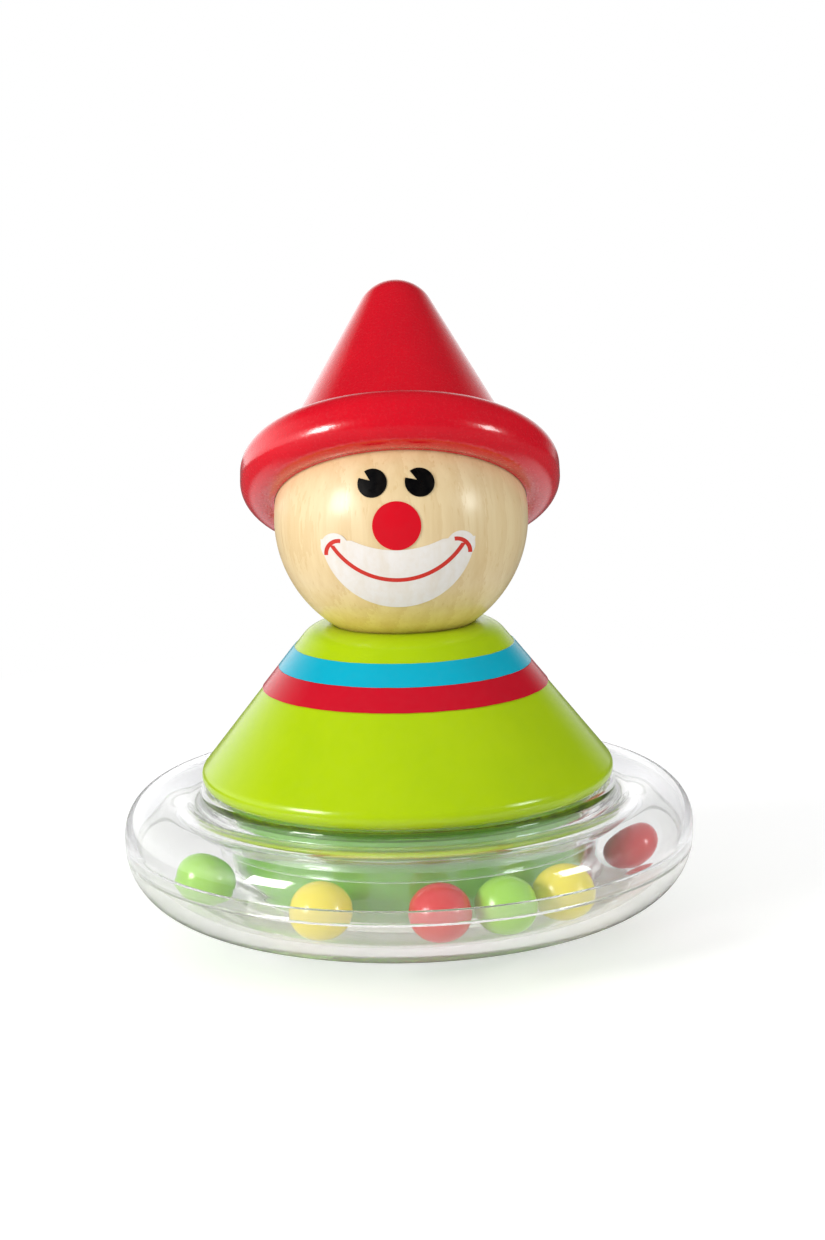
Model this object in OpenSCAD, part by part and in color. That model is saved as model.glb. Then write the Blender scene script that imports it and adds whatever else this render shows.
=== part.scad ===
// Self-righting wooden clown on a clear rattle ring.
// Millimetres, +Z up, front towards -Y, origin at the lowest point of the domed underside.

/* [Head] */
// Diameter of the bare wooden head ball
head_d = 50; // [44:0.5:56]
// Depth that the ball sinks into the dished top of the body
head_sink = 4.3; // [3:0.1:5]
// Turn of the printed face round the upright axis, degrees
face_turn = -2; // [-10:1:10]
// Diameter of each eye disc
eye_d = 5.6; // [4.4:0.1:6.8]
// Angle of each eye to the side of the face's middle, degrees
eye_side_angle = 11; // [9:0.5:14]
// Angle of the eyes above the head's equator, degrees
eye_raise_angle = 22; // [19:0.5:25]
// Opening angle of the wedge left bare in each eye, degrees
eye_wedge_angle = 42; // [30:1:60]
// Direction that the wedges open in, degrees
eye_look_angle = 145; // [100:1:190]
// Offset of each wedge's point from the eye's centre
eye_wedge_shift = 0.45; // [0.2:0.05:0.8]
// Diameter of the nose disc
nose_d = 9.1; // [7.5:0.1:10]
// Angle of the nose above the head's equator, degrees
nose_raise_angle = 3.6; // [2:0.2:5]
// Radius of the pale mouth patch's lower edge
mouth_r = 14.6; // [13.5:0.1:15.5]
// Height of that edge's centre above the head's centre
mouth_raise = 0.2; // [-0.6:0.1:1]
// Drop of the patch's ends below the head's centre
mouth_drop = 1.2; // [0.8:0.1:1.6]
// Radius of the dip in the patch's upper edge
dip_r = 21; // [19:0.5:24]
// Lowest point of the dip below the head's centre
dip_drop = 3; // [2.4:0.1:3.6]
// Radius of the lobes at the ends of the mouth patch
lobe_r = 2.7; // [2:0.1:3.2]
// Step of the lobes inside the patch's edge
lobe_step = 0.1; // [0:0.05:0.3]
// Drop of the lobes' centres below the head's centre
lobe_drop = 2.6; // [2:0.1:3.2]
// Radius of the smile line beyond that of the mouth patch
smile_ease = 0.3; // [0:0.1:1]
// Half of the smile's arc, degrees
smile_angle = 56; // [50:1:60]
// Drop of the smile line below the middle of the mouth patch
smile_low = 0.1; // [0:0.05:0.5]
// Width of the smile line
smile_w = 0.75; // [0.5:0.05:1.2]
// Radius of the strokes across the smile's ends
stroke_r = 2.6; // [2:0.1:3.2]
// Place of a stroke's centre inside the smile's end
stroke_in = 1.45; // [1:0.05:2]
// Drop of a stroke's centre below the smile's end
stroke_drop = 1.7; // [1.2:0.1:2.2]

/* [Hat] */
// Backward tilt of the hat, degrees
hat_tilt = 30; // [20:1:36]
// Reach of the rolled brim beyond the head ball
brim_reach = 6.65; // [5.5:0.05:8]
// Radial width of the rolled brim
brim_w = 9.1; // [8:0.1:10.5]
// Upright part of the brim's side
brim_flat = 1.9; // [1:0.1:3]
// Height of the brim's underside above the head's centre, along the hat
brim_level = 2.9; // [2:0.1:4]
// Rise of the crown's tip over the head ball
tip_rise = 26.9; // [22:0.1:32]
// Radius of the rounded tip
tip_r = 8.2; // [6.5:0.1:9.5]
// Step of the crown's foot inside the middle of the brim
crown_step = 1; // [0.5:0.1:2]

/* [Body] */
// Widest diameter of the cone
cone_d = 82.4; // [76:0.1:92]
// Height of the cone from its underside to its top
cone_h = 31.9; // [28:0.1:36]
// Width of the flat land between the dish and the shoulder
land = 1.4; // [0.8:0.1:2.4]
// Radius of the rounded shoulder at the top
shoulder_r = 6; // [4:0.1:7]
// Radius of the rounded lower edge
cone_edge_r = 2.5; // [1.5:0.1:3]
// Width of the ledge between the cone's side and its spigot
ledge = 6.2; // [5.2:0.1:7.2]
// Gap between the spigot's foot and the ring's floor
foot_gap = 2.6; // [2.2:0.1:3]
// Drop of the blue band's upper edge below the body's top
band_drop = 4.35; // [3.8:0.05:5]
// Height of the blue band
blue_h = 3.95; // [3:0.05:5]
// Height of the red band
red_h = 4.15; // [3:0.05:5]

/* [Clear ring] */
// Reach of the ring beyond the cone
rim_reach = 15.8; // [13:0.1:18.5]
// Radius of the domed underside that the toy rocks on
dome_r = 135; // [115:1:160]
// Radius of the turn from dome to rim, as a part of the bead channel's width
under_ratio = 0.612; // [0.58:0.001:0.65]
// Radius of the rolled upper edge, as a part of the bead channel's width
roll_ratio = 0.418; // [0.39:0.001:0.45]
// Upright part of the rim
rim_flat = 1.8; // [1:0.1:2.6]
// Slope of the trough inside the roll, degrees
trough_slope = 35; // [30:1:38]
// Reach of the collar beyond the cone
collar_reach = 0.55; // [0.2:0.05:1]
// Rise of the collar over the trough, up to where the cone rests
collar_rise = 3.7; // [3:0.1:4.6]
// Radius of the collar's upper edge
collar_edge = 1.1; // [0.6:0.1:1.5]
// Radius at the collar's foot
collar_foot = 0.8; // [0.5:0.1:1]
// Wall of the upper half
upper_wall = 2; // [1.7:0.1:2.3]
// Wall of the lower half
lower_wall = 2.6; // [2.2:0.1:3]
// Wall round the well
well_wall = 2; // [1.6:0.1:2.4]
// Drop of the outer seam below the rim
seam_drop = 1.6; // [1:0.1:2.4]
// Height of the lower half's tongue inside the seam
tongue_h = 2.1; // [1.4:0.1:2.8]
// Thickness of the lip of the upper half outside the tongue
seam_lip = 1.05; // [0.9:0.05:1.2]
// Half width of the groove along the seam
seam_groove = 0.3; // [0.15:0.05:0.4]
// Rise of the well's seam over the middle of the bead track
well_seam_rise = 3; // [2.4:0.1:4]

/* [Beads] */
// Room between the bead track and the ring's outer wall
track_room = 3; // [2:0.1:4]
// Room at each side of a bead in its track
bead_room = 1.25; // [1:0.05:1.6]
// Place of the leading bead round the ring from the front, degrees
lead_angle = 84; // [60:1:120]
// Angle left between the leading bead and the next one, degrees
yellow_1_angle = 29.8; // [1:0.1:40]
// Angle left before the third bead, degrees
green_1_angle = 1.8; // [1:0.1:40]
// Angle left before the fourth bead, degrees
red_2_angle = 1.1; // [1:0.1:40]
// Angle left before the fifth bead, degrees
yellow_2_angle = 13.4; // [1:0.1:40]
// Angle left before the last bead, degrees
green_2_angle = 25.6; // [1:0.1:40]

/* [Dowels, ballast and screws] */
// Diameter of the dowel between head and body
neck_dowel_d = 10; // [8:0.5:11]
// Length of the dowel between head and body
neck_dowel_l = 26; // [20:1:30]
// Diameter of the dowel between head and hat
hat_dowel_d = 8; // [6:0.5:10]
// Length of the dowel between head and hat
hat_dowel_l = 24; // [18:1:28]
// Width of wood left round the steel ballast disc
ballast_rim = 9; // [8.6:0.1:10.5]
// Thickness of the ballast disc
ballast_t = 8.4; // [7:0.1:10]
// Gap between the ballast disc and the ring's floor
ballast_gap = 0.8; // [0.5:0.1:1.4]
// Number of screws that hold the ring
screw_count = 3; // [3:1:6]
// Diameter of the screws' shanks
screw_d = 3.5; // [3:0.1:4]
// Diameter of the screws' heads
screw_head_d = 6.4; // [6:0.1:7]
// Height of the screws' heads
screw_head_h = 2.2; // [1.8:0.1:2.4]
// Length of the screws' shanks
screw_l = 16; // [12:1:18]
// Plastic left under each screw head
screw_floor = 2.4; // [2:0.1:2.6]
// Wall of the boss round each screw
boss_wall = 1.1; // [0.9:0.1:1.3]
// Diameter of the countersunk ballast screw
pin_d = 4; // [3.5:0.1:4.5]
// Length of the ballast screw
pin_l = 22; // [17:1:25]
// Diameter of the screws' points
point_d = 0.8; // [0.5:0.1:1.2]
// Length of the slots in the screws' heads, as a part of the head's diameter
slot_ratio = 0.6; // [0.5:0.05:0.7]
// Width of the slots in the screws' heads
slot_w = 0.9; // [0.7:0.1:1.1]
// Depth of those slots
slot_h = 1; // [0.8:0.1:1.2]

/* [Fits] */
// Gap between a dowel or a shank and its hole
pin_fit = 0.05; // [0.02:0.01:0.1]
// Room beyond the end of a dowel or a shank
end_room = 0.4; // [0.2:0.1:1]
// Gap between the ball and the dishes that it is glued in
glue_gap = 0.1; // [0.05:0.01:0.2]
// Gap between the spigot and the wall round it
well_fit = 0.4; // [0.3:0.05:0.5]
// Gap between ballast disc and pocket
ballast_fit = 0.2; // [0.1:0.05:0.3]
// Gap between the ballast disc and the screws' bosses
boss_gap = 0.4; // [0.3:0.05:0.6]
// Gap round a screw's head
head_room = 0.3; // [0.2:0.05:0.4]
// Gap round a screw's shank where it passes the plastic
shank_room = 0.2; // [0.1:0.05:0.3]
// Gap round a plug and over it
plug_fit = 0.1; // [0.05:0.01:0.2]
// Gap in the tongue joint of the two ring halves
seam_fit = 0.1; // [0.05:0.01:0.15]
// Gap between a bead and the track below it
bead_gap = 0.25; // [0.2:0.05:0.4]
// Thickness of paint and print
film = 0.15; // [0.1:0.01:0.25]
// Gap between a film and what it is printed on or meets
film_gap = 0.02; // [0.01:0.01:0.05]

/* [Hidden] */
$fn = 96;
fine = 480;
far = 200;
over = 1;

head_r = head_d / 2;
channel_w = rim_reach + ledge - well_fit - well_wall;
under_r = under_ratio * channel_w;
roll_r = roll_ratio * channel_w;
track_r = (channel_w - lower_wall - track_room) / 2;
bead_d = 2 * (track_r - bead_room);

base_r = cone_d / 2 + rim_reach;
under_cr = base_r - under_r;
rim_z = dome_r - sqrt(pow(dome_r - under_r, 2) - pow(under_cr, 2));
under_lean = asin(under_cr / (dome_r - under_r));
function dome_z(r, inset) = dome_r - sqrt(pow(dome_r - inset, 2) - r * r);
roll_cr = base_r - roll_r;
roll_cz = rim_z + rim_flat;
collar_r = cone_d / 2 + collar_reach;
function trough_z(r, inset) = roll_cz + (roll_r - inset) / cos(trough_slope)
    - (roll_cr - r) * tan(trough_slope);
collar_top = trough_z(collar_r, 0) + collar_rise;
seam_z = rim_z - seam_drop;
seam_r = under_cr + sqrt(under_r * under_r - seam_drop * seam_drop);
tongue_r = base_r - seam_lip - seam_fit;
spigot_r = cone_d / 2 - ledge;
well_r = spigot_r + well_fit;
wall_r = well_r + well_wall;
spigot_foot = dome_z(well_r, lower_wall) + foot_gap;

cone_top = collar_top + cone_h;
head_z = cone_top - head_sink + head_r;
dish_r = sqrt(head_r * head_r - pow(head_r - head_sink, 2));
cone_edge_cr = cone_d / 2 - cone_edge_r;
cone_edge_cz = collar_top + cone_edge_r;
shoulder_cr = dish_r + land;
shoulder_cz = cone_top - shoulder_r;
cone_run = cone_edge_cr - shoulder_cr;
cone_rise = shoulder_cz - cone_edge_cz;
cone_angle = atan2(cone_run, cone_rise) - asin((shoulder_r - cone_edge_r) / norm([cone_run, cone_rise]));
cone_low_r = cone_edge_cr + cone_edge_r * cos(cone_angle);
cone_low_z = cone_edge_cz + cone_edge_r * sin(cone_angle);
function cone_r(z) = cone_low_r - (z - cone_low_z) * tan(cone_angle);
shoulder_low_r = shoulder_cr + shoulder_r * cos(cone_angle);
shoulder_low_z = shoulder_cz + shoulder_r * sin(cone_angle);
blue_top = cone_top - band_drop;
red_top = blue_top - blue_h;
red_low = red_top - red_h;

smile_r = mouth_r + smile_ease;
smile_drop = (dip_drop + mouth_r - mouth_raise) / 2 + smile_low;

brim_cr = head_r + brim_reach - brim_w / 2;
brim_low_cz = brim_level + brim_w / 2;
brim_high_cz = brim_low_cz + brim_flat;
tip_cz = head_r + tip_rise - tip_r;
crown_foot_r = brim_cr - crown_step;
crown_rise = tip_cz - brim_high_cz;
crown_angle = atan2(crown_foot_r, crown_rise) - asin(tip_r / norm([crown_foot_r, crown_rise]));

track_cr = wall_r + track_r;
track_span = dome_r - lower_wall - track_r;
track_cz = dome_r - sqrt(track_span * track_span - track_cr * track_cr);
track_lean = asin(track_cr / track_span);
well_seam = track_cz + well_seam_rise;
bead_z = track_cz - track_r + bead_gap + bead_d / 2;
bead_angle = 2 * asin(bead_d / 2 / track_cr);
place_yellow_1 = lead_angle - bead_angle - yellow_1_angle;
place_green_1 = place_yellow_1 - bead_angle - green_1_angle;
place_red_2 = place_green_1 - bead_angle - red_2_angle;
place_yellow_2 = place_red_2 - bead_angle - yellow_2_angle;
place_green_2 = place_yellow_2 - bead_angle - green_2_angle;

ballast_d = 2 * (spigot_r - ballast_rim);
ballast_low = dome_z(ballast_d / 2, lower_wall) + ballast_gap;
ballast_top = ballast_low + ballast_t;
pin_head_d = 2 * pin_d;
screw_seat = spigot_foot - screw_floor;
screw_bore_d = screw_head_d + 2 * head_room;
boss_d = screw_bore_d + 2 * boss_wall;
screw_circle = ballast_d / 2 + boss_gap + boss_d / 2;
boss_low = dome_z(screw_circle, lower_wall / 2);

// Places a child on the head with +Z along the hat.
module on_hat_axis() {
    translate([0, 0, head_z]) rotate([-hat_tilt, 0, 0]) children();
}

// Points +Z of a child out of the face at the given angles.
module out_of_face(side, raise) {
    translate([0, 0, head_z]) rotate([0, 0, face_turn + side]) rotate([90 - raise, 0, 0]) children();
}

// Thin skin just over the head ball.
module head_skin() {
    translate([0, 0, head_z]) difference() {
        sphere(r = head_r + film_gap + film);
        sphere(r = head_r + film_gap);
    }
}

// Puts one child at each screw.
module at_screws() {
    for (i = [0 : screw_count - 1]) {
        rotate([0, 0, 90 + i * 360 / screw_count]) translate([screw_circle, 0, 0]) children();
    }
}

// Half of a flat disc, kept on the right of the axis.
module half_disc(r, cr, cz) {
    intersection() {
        translate([cr, cz]) circle(r = r);
        translate([0, cz - r]) square([cr + r, 2 * r]);
    }
}

// Section inside the turn from the dome up to the rim.
module turn_section(inset) {
    intersection() {
        half_disc(under_r - inset, under_cr, rim_z);
        square([base_r, rim_z]);
    }
}

// Section inside the underside of the ring, below the rim.
module under_section(inset) {
    intersection() {
        half_disc(dome_r - inset, 0, dome_r);
        polygon([
            [0, -over],
            [0, rim_z],
            [under_cr, rim_z],
            [under_cr + far * sin(under_lean), rim_z - far * cos(under_lean)]
        ]);
    }
    turn_section(inset);
}

// Section inside the top of the ring, above the rim.
module over_section(inset, edge) {
    top = collar_top - inset;
    side = collar_r - inset;
    roll = roll_r - inset;
    translate([0, rim_z]) square([base_r - inset, rim_flat]);
    intersection() {
        half_disc(roll, roll_cr, roll_cz);
        translate([roll_cr - roll * sin(trough_slope), roll_cz]) square([far, far]);
    }
    polygon([
        [0, rim_z],
        [roll_cr, rim_z],
        [roll_cr, roll_cz],
        [roll_cr - roll * sin(trough_slope), roll_cz + roll * cos(trough_slope)],
        [side, trough_z(side, inset)],
        [0, trough_z(side, inset)]
    ]);
    translate([0, rim_z]) square([side, top - rim_z - edge]);
    translate([0, rim_z]) square([side - edge, top - rim_z]);
    if (edge > 0) {
        translate([side - edge, top - edge]) circle(r = edge);
    }
}

// Small inside curve where the collar stands on the trough.
module collar_foot_section() {
    foot_cr = collar_r + collar_foot;
    foot_cz = trough_z(foot_cr, 0) + collar_foot / cos(trough_slope);
    difference() {
        polygon([
            [collar_r - collar_foot, foot_cz],
            [collar_r - collar_foot, trough_z(collar_r, 0) - collar_foot],
            [collar_r, trough_z(collar_r, 0) - collar_foot],
            [foot_cr + collar_foot * sin(trough_slope), foot_cz - collar_foot * cos(trough_slope)],
            [foot_cr, foot_cz]
        ]);
        translate([foot_cr, foot_cz]) circle(r = collar_foot);
    }
}

// Section of the bead track in the lower half, straight between its two curves.
module track_section() {
    turn_r = under_r - lower_wall;
    turn_section(lower_wall);
    polygon([
        [track_cr, rim_z],
        [track_cr, track_cz],
        [track_cr + track_r * sin(track_lean), track_cz - track_r * cos(track_lean)],
        [under_cr + turn_r * sin(under_lean), rim_z - turn_r * cos(under_lean)],
        [under_cr, rim_z]
    ]);
    translate([track_cr, track_cz]) circle(r = track_r);
    translate([wall_r, track_cz]) square([2 * track_r, rim_z - track_cz]);
}

// Groove that shows where the two halves meet.
module seam_mark() {
    translate([seam_r, seam_z]) rotate(45) square(seam_groove * sqrt(2), center = true);
}

// Bare ball, dished into hat and body and joined to both with dowels.
module head() {
    color([0.95, 0.87, 0.72]) difference() {
        translate([0, 0, head_z]) sphere(r = head_r);
        translate([0, 0, head_z - head_r - over])
            cylinder(d = neck_dowel_d + 2 * pin_fit, h = neck_dowel_l / 2 + over + end_room);
        on_hat_axis() translate([0, 0, head_r - hat_dowel_l / 2 - end_room])
            cylinder(d = hat_dowel_d + 2 * pin_fit, h = hat_dowel_l);
    }
}

// Turned cone hat with a rolled brim and a hollow that fits the ball.
module hat() {
    color([0.86, 0.04, 0.12]) on_hat_axis() difference() {
        rotate_extrude() difference() {
            union() {
                polygon([
                    [0, brim_level],
                    [brim_cr, brim_level],
                    [brim_cr, brim_high_cz],
                    [crown_foot_r, brim_high_cz],
                    [tip_r * cos(crown_angle), tip_cz + tip_r * sin(crown_angle)],
                    [0, tip_cz + tip_r * sin(crown_angle)]
                ]);
                half_disc(tip_r, 0, tip_cz);
                translate([brim_cr, brim_low_cz]) circle(d = brim_w);
                translate([brim_cr, brim_high_cz]) circle(d = brim_w);
                translate([brim_cr - brim_w / 2, brim_low_cz]) square([brim_w, brim_flat]);
            }
            half_disc(head_r + glue_gap, 0, 0);
        }
        translate([0, 0, head_r - over])
            cylinder(d = hat_dowel_d + 2 * pin_fit, h = hat_dowel_l / 2 + over + end_room);
    }
}

// Wooden pin between head and hat.
module hat_dowel() {
    color([0.80, 0.66, 0.45]) on_hat_axis() translate([0, 0, head_r - hat_dowel_l / 2])
        cylinder(d = hat_dowel_d, h = hat_dowel_l);
}

// Wooden pin between head and body.
module neck_dowel() {
    color([0.80, 0.66, 0.45]) translate([0, 0, head_z - head_r - neck_dowel_l / 2])
        cylinder(d = neck_dowel_d, h = neck_dowel_l);
}

// Outer section of the cone and its spigot.
module body_section() {
    polygon([
        [0, collar_top],
        [cone_edge_cr, collar_top],
        [cone_edge_cr, cone_edge_cz],
        [cone_low_r, cone_low_z],
        [shoulder_low_r, shoulder_low_z],
        [shoulder_cr, shoulder_cz],
        [shoulder_cr, cone_top],
        [0, cone_top]
    ]);
    translate([cone_edge_cr, cone_edge_cz]) circle(r = cone_edge_r);
    translate([shoulder_cr, shoulder_cz]) circle(r = shoulder_r);
    translate([0, spigot_foot]) square([spigot_r, collar_top - spigot_foot + over]);
}

// Painted cone, dished at the top, with a pocket for the ballast in its spigot.
module body() {
    color([0.66, 0.80, 0.05]) difference() {
        rotate_extrude() body_section();
        translate([0, 0, head_z]) sphere(r = head_r + glue_gap);
        translate([0, 0, head_z - head_r - neck_dowel_l / 2 - end_room])
            cylinder(d = neck_dowel_d + 2 * pin_fit, h = neck_dowel_l);
        translate([0, 0, spigot_foot - over])
            cylinder(d = ballast_d + 2 * ballast_fit, h = ballast_top - spigot_foot + over);
        translate([0, 0, ballast_top - over])
            cylinder(d = pin_d + 2 * pin_fit, h = pin_l - ballast_t + over + end_room);
        at_screws() translate([0, 0, spigot_foot - over])
            cylinder(d = screw_d + 2 * pin_fit, h = screw_l - screw_floor + over + end_room);
    }
}

// Ring of paint over the cone between two heights.
module cone_band(low, high) {
    lift = film_gap / cos(cone_angle);
    raised = lift + film / cos(cone_angle);
    rotate_extrude() polygon([
        [cone_r(low) + lift, low],
        [cone_r(low) + raised, low],
        [cone_r(high) + raised, high],
        [cone_r(high) + lift, high]
    ]);
}

// Upper painted band.
module blue_band() {
    color([0.00, 0.62, 0.78]) cone_band(red_top + film_gap, blue_top);
}

// Lower painted band.
module red_band() {
    color([0.80, 0.06, 0.14]) cone_band(red_low, red_top);
}

// Two printed eyes, each with a wedge left bare.
module eyes() {
    wedge = eye_d * tan(eye_wedge_angle / 2);
    color([0.03, 0.03, 0.03]) for (side = [-1, 1]) {
        intersection() {
            head_skin();
            out_of_face(side * eye_side_angle, eye_raise_angle) difference() {
                cylinder(d = eye_d, h = far);
                translate([-eye_wedge_shift, eye_wedge_shift, -over]) rotate([0, 0, eye_look_angle])
                    linear_extrude(far + 2 * over) polygon([[0, 0], [eye_d, -wedge], [eye_d, wedge]]);
            }
        }
    }
}

// Printed nose.
module nose() {
    color([0.86, 0.04, 0.12]) intersection() {
        head_skin();
        out_of_face(0, nose_raise_angle) cylinder(d = nose_d, h = far);
    }
}

// Ring of the given radius as wide as the smile line, widened by the given spread.
module line_ring(r, spread) {
    difference() {
        circle(r = r + smile_w / 2 + spread);
        circle(r = r - smile_w / 2 - spread);
    }
}

// Outline of the smile and of the short strokes at its ends, seen from the front.
module smile_outline(spread) {
    smile_cz = smile_r - smile_drop;
    end_x = smile_r * sin(smile_angle);
    end_z = smile_cz - smile_r * cos(smile_angle);
    stroke_tail = far / 10;
    difference() {
        translate([0, smile_cz]) line_ring(smile_r, spread);
        translate([-far / 2, end_z]) square(far);
    }
    for (side = [-1, 1]) {
        translate([side * (end_x - stroke_in), end_z - stroke_drop]) intersection() {
            line_ring(stroke_r, spread);
            scale([side, 1]) polygon([[0, 0], [far, -stroke_tail], [far, far], [-stroke_tail, far]]);
        }
    }
}

// Outline of the pale patch round the mouth, seen from the front.
module mouth_outline() {
    difference() {
        translate([0, mouth_raise]) circle(r = mouth_r);
        translate([0, dip_r - dip_drop]) circle(r = dip_r);
        translate([-far / 2, -mouth_drop]) square(far);
    }
    for (side = [-1, 1]) {
        translate([side * (mouth_r - lobe_r - lobe_step), -lobe_drop]) circle(r = lobe_r);
    }
}

// Extrudes a front outline through the face.
module through_face() {
    out_of_face(0, 0) linear_extrude(far) children();
}

// Pale patch round the mouth, left open where nose and smile are printed.
module mouth() {
    color([0.93, 0.91, 0.88]) difference() {
        intersection() {
            head_skin();
            through_face() mouth_outline();
        }
        through_face() smile_outline(film_gap);
        out_of_face(0, nose_raise_angle) cylinder(d = nose_d + 2 * film_gap, h = far);
    }
}

// Smile line with its end strokes.
module smile() {
    color([0.82, 0.16, 0.14]) intersection() {
        head_skin();
        through_face() smile_outline(0);
    }
}

// Clear upper half: rolled rim, trough, collar and skirt round the well.
module upper_ring() {
    color([0.90, 0.92, 0.95, 0.35]) rotate_extrude() difference() {
        union() {
            over_section(0, collar_edge);
            collar_foot_section();
            under_section(0);
        }
        difference() {
            union() {
                over_section(upper_wall, 0);
                under_section(upper_wall);
            }
            square([wall_r, far]);
        }
        square([well_r, far]);
        square([wall_r + over, well_seam + seam_fit]);
        square([far, seam_z]);
        translate([wall_r, 0]) square([tongue_r + seam_fit - wall_r, seam_z + tongue_h + seam_fit]);
        seam_mark();
    }
}

// Clear lower half: domed underside, bead track, wall round the well and screw bosses.
module lower_ring() {
    color([0.90, 0.92, 0.95, 0.35]) difference() {
        union() {
            rotate_extrude() difference() {
                union() {
                    intersection() {
                        under_section(0);
                        square([far, seam_z]);
                    }
                    translate([well_r, seam_z - over]) square([well_wall, well_seam - seam_z + over]);
                    translate([base_r - lower_wall, seam_z - over])
                        square([tongue_r - base_r + lower_wall, tongue_h + over]);
                }
                track_section();
                intersection() {
                    under_section(lower_wall);
                    square([well_r, far]);
                }
                seam_mark();
            }
            at_screws() translate([0, 0, boss_low]) cylinder(d = boss_d, h = spigot_foot - boss_low);
        }
        at_screws() translate([0, 0, -over]) cylinder(d = screw_bore_d, h = screw_seat + over);
        at_screws() cylinder(d = screw_d + 2 * shank_room, h = spigot_foot + over);
    }
}

// Steel disc that keeps the toy upright, held in the spigot's pocket.
module ballast() {
    color([0.45, 0.46, 0.48]) difference() {
        translate([0, 0, ballast_low]) cylinder(d = ballast_d, h = ballast_t);
        translate([0, 0, ballast_low - over]) cylinder(d = pin_d + 2 * pin_fit, h = ballast_t + 2 * over);
        translate([0, 0, ballast_low])
            cylinder(d1 = pin_head_d + 2 * pin_fit, d2 = pin_d + 2 * pin_fit, h = pin_d / 2);
    }
}

// Crossed slots cut up into a screw's head of the given diameter.
module cross_slots(d) {
    for (turn = [0, 90]) {
        rotate([0, 0, turn]) cube([slot_ratio * d, slot_w, 2 * slot_h], center = true);
    }
}

// Countersunk screw that holds the ballast disc.
module ballast_screw() {
    color([0.72, 0.70, 0.62]) translate([0, 0, ballast_low]) difference() {
        rotate_extrude() polygon([
            [0, 0],
            [pin_head_d / 2, 0],
            [pin_d / 2, pin_d / 2],
            [pin_d / 2, pin_l - pin_d / 2],
            [point_d / 2, pin_l],
            [0, pin_l]
        ]);
        cross_slots(pin_head_d);
    }
}

// Screws that draw the ring up against the cone.
module ring_screws() {
    end = screw_head_h + screw_l;
    color([0.72, 0.70, 0.62]) at_screws() translate([0, 0, screw_seat - screw_head_h]) difference() {
        rotate_extrude() polygon([
            [0, 0],
            [screw_head_d / 2, 0],
            [screw_head_d / 2, screw_head_h],
            [screw_d / 2, screw_head_h],
            [screw_d / 2, end - screw_d],
            [point_d / 2, end],
            [0, end]
        ]);
        cross_slots(screw_head_d);
    }
}

// Plugs that close the screw holes level with the dome.
module screw_plugs() {
    color([0.88, 0.90, 0.92]) intersection() {
        at_screws() cylinder(d = screw_bore_d - 2 * plug_fit, h = screw_seat - screw_head_h - plug_fit);
        translate([0, 0, dome_r]) sphere(r = dome_r, $fn = fine);
    }
}

// One wooden bead on the track.
module bead(place, tint) {
    color(tint) translate([track_cr * sin(place), -track_cr * cos(place), bead_z]) sphere(d = bead_d);
}

module red_bead_1() {
    bead(lead_angle, [0.84, 0.08, 0.14]);
}

module yellow_bead_1() {
    bead(place_yellow_1, [0.93, 0.80, 0.15]);
}

module green_bead_1() {
    bead(place_green_1, [0.45, 0.75, 0.15]);
}

module red_bead_2() {
    bead(place_red_2, [0.84, 0.08, 0.14]);
}

module yellow_bead_2() {
    bead(place_yellow_2, [0.93, 0.80, 0.15]);
}

module green_bead_2() {
    bead(place_green_2, [0.45, 0.75, 0.15]);
}

hat();
hat_dowel();
head();
eyes();
nose();
mouth();
smile();
neck_dowel();
body();
blue_band();
red_band();
ballast();
ballast_screw();
upper_ring();
lower_ring();
ring_screws();
screw_plugs();
red_bead_1();
yellow_bead_1();
green_bead_1();
red_bead_2();
yellow_bead_2();
green_bead_2();
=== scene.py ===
# %% [markdown]
# A wobble toy: a turned wooden clown with a ball head and a tilted cone hat stands in a clear ring
# in which six wooden beads roll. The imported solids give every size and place. This lesson puts
# finely turned meshes and real finishes over them, one piece after the other.

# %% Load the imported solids
import math

import bmesh
import bpy
from mathutils import Matrix, Vector


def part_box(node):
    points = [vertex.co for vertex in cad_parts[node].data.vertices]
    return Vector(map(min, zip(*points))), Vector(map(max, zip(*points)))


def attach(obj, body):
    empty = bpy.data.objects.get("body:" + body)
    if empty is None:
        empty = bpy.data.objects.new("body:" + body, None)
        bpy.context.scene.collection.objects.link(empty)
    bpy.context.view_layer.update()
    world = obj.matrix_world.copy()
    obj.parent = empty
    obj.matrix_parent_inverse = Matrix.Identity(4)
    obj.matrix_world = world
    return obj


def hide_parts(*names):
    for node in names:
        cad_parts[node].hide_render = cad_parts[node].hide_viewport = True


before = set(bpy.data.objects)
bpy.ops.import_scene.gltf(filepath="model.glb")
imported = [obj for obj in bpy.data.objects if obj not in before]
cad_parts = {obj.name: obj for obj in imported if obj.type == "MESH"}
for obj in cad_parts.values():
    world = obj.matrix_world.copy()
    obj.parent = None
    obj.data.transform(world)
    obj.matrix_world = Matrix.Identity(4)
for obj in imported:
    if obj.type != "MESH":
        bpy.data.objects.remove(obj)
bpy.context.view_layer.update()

# %% [markdown]
# Hat, head, body, ring and beads are all round, because a lathe or a round mould makes them. The
# same is done here: an outline of radius and height is swept round the axis. A Screw modifier could
# do it too, but rings of vertices made in code let each arc get as many points as it needs.

# %% Outline and lathe helpers
MM = 0.001
ON_AXIS = 1e-6


def arc(centre_r, centre_z, radius, start, end, steps):
    """Points of an arc in the turning plane, from angle start to angle end in degrees."""
    points = []
    for i in range(steps + 1):
        angle = math.radians(start + (end - start) * i / steps)
        points.append((centre_r + radius * math.cos(angle), centre_z + radius * math.sin(angle)))
    return points


def line(low, high, steps):
    """Evenly spaced points from low to high, without low."""
    return [
        (low[0] + (high[0] - low[0]) * i / steps, low[1] + (high[1] - low[1]) * i / steps)
        for i in range(1, steps + 1)
    ]


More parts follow.
